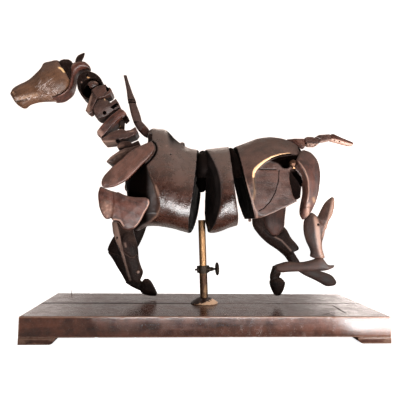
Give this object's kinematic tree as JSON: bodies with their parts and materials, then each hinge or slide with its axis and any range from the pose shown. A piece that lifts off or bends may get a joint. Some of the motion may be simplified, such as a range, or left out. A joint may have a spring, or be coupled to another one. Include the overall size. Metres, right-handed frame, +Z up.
{
  "type": "horse lay figure",
  "caption": "Jointed wooden horse figure for artists, worn and with parts lost, galloping over a plain plinth on a telescopic brass rod with a thumbscrew and a domed foot.",
  "frame": {"origin": "middle of the underside of the box round the whole object, level with the plinth's feet", "axes": "+X from the horse's nose towards its tail along the plinth, +Y from the horse's left side to its right, +Z up"},
  "size_m": [0.7828, 0.246, 0.5945],
  "materials": {
    "dark_wood": "near-black brown stained wood, waxed and worn",
    "red_wood": "dark reddish brown polished wood, worn",
    "brown_wood": "mid brown wood with pale scuffs",
    "plinth_wood": "dark brown varnished wood, glossy on top, scratched",
    "brass": "aged satin brass",
    "bronze": "dark bronzed brass",
    "flange_metal": "worn lacquered brass with dark patina"
  },
  "bodies": {
    "stand": {"plinth_slab": "plinth_wood", "left_runner": "plinth_wood", "right_runner": "plinth_wood", "flange": "flange_metal", "outer_tube": "brass", "collar": "bronze", "set_screw": "bronze"},
    "figure": {"belly_peg": "dark_wood", "brass_hip_ball": "brass", "crest_band": "dark_wood", "crest_foot": "red_wood", "crest_length": "dark_wood", "crest_root": "dark_wood", "crest_tip": "dark_wood", "ear": "dark_wood", "face": "brown_wood", "far_fore_cannon": "dark_wood", "far_fore_hoof": "dark_wood", "far_fore_pastern": "dark_wood", "far_forearm": "dark_wood", "far_gaskin": "dark_wood", "far_hind_cannon": "dark_wood", "far_shoulder_blade": "red_wood", "far_thigh": "red_wood", "far_upper_arm": "red_wood", "front_spine_block": "dark_wood", "inner_tube": "brass", "jaw_plate": "red_wood", "loin_ring": "dark_wood", "near_forearm": "dark_wood", "near_gaskin": "dark_wood", "near_hind_cannon": "dark_wood", "near_hind_hoof": "dark_wood", "near_hind_pastern": "dark_wood", "near_shoulder_blade": "red_wood", "near_thigh": "red_wood", "near_upper_arm": "red_wood", "neck_broad_block": "dark_wood", "neck_cup": "dark_wood", "neck_knob": "red_wood", "neck_leaf_plate": "dark_wood", "neck_low_block": "dark_wood", "neck_second_block": "dark_wood", "neck_tilted_plate": "red_wood", "neck_upper_block": "red_wood", "pelvis": "dark_wood", "poll_block": "dark_wood", "rear_spine_block": "dark_wood", "tail_dock": "red_wood", "tail_second": "dark_wood", "tail_third": "dark_wood", "tail_tip": "red_wood", "thorax": "dark_wood"},
    "thumbscrew": {"thumbscrew": "bronze"}
  },
  "joints": [
    {"name": "rod_slide", "type": "slide", "parent": "stand", "child": "figure", "axis": [-0.0454, 0, 0.999], "range_m": [-0.005, 0.045]},
    {"name": "thumbscrew_turn", "type": "hinge", "parent": "stand", "child": "thumbscrew", "pos_m": [0.03613, 0.006, 0.12392], "axis": [0.999, 0, 0.0454], "range_deg": [0, 360]}
  ]
}
